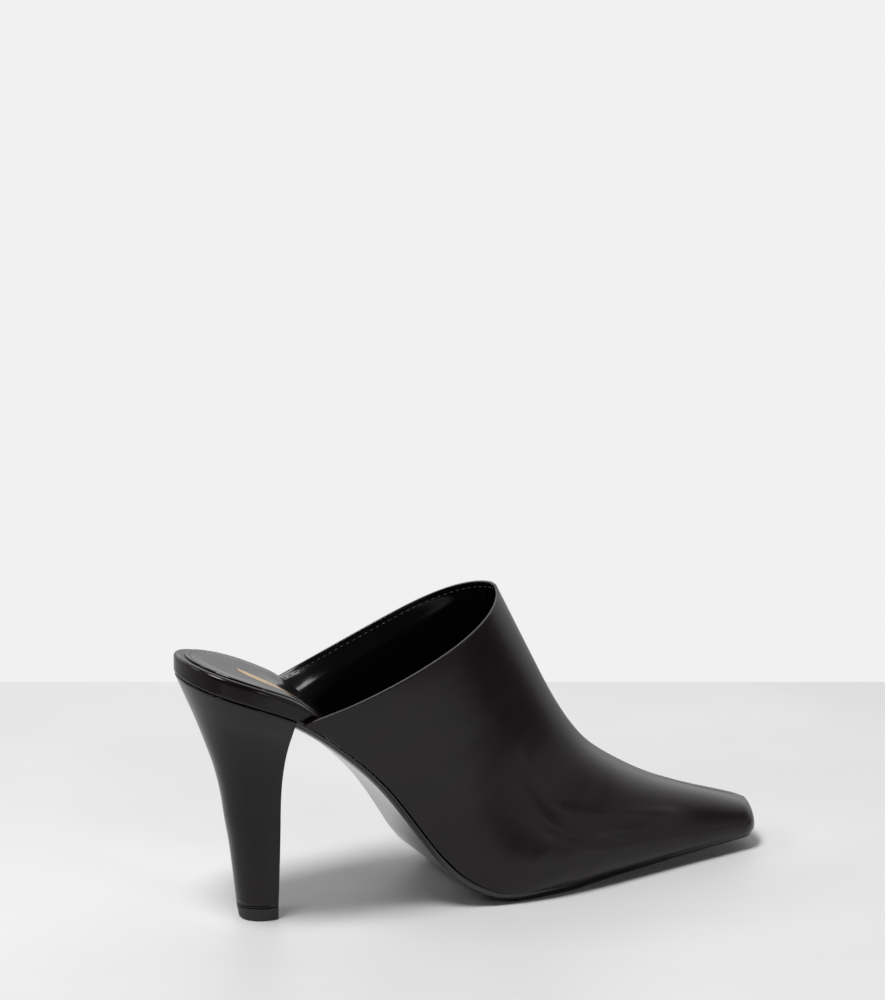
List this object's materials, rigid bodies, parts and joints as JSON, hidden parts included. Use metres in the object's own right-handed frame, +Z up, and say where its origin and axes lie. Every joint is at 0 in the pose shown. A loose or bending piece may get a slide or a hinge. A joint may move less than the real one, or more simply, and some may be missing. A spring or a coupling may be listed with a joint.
{
  "type": "shoe",
  "caption": "High-heeled mule in plain black leather: closed snipped toe, open back, centre-front seam, covered heel with a rubber top piece.",
  "frame": {"origin": "centre of the shoe's footprint box, on the ground it stands on", "axes": "+X towards the toe, +Y towards the inner side of the foot, +Z up"},
  "size_m": [0.2378, 0.0736, 0.118],
  "materials": {
    "upper_leather": "smooth semi-gloss calf leather",
    "board_leather": "smooth semi-gloss leather wrap",
    "sock_leather": "glossy lining leather",
    "sole_leather": "glossy painted sole leather",
    "heel_leather": "smooth semi-gloss leather cover",
    "tip_rubber": "matte moulded rubber"
  },
  "bodies": {
    "root": {"upper": "upper_leather", "insole_board": "board_leather", "sock": "sock_leather", "outsole": "sole_leather", "heel": "heel_leather", "heel_tip": "tip_rubber"}
  },
  "joints": []
}
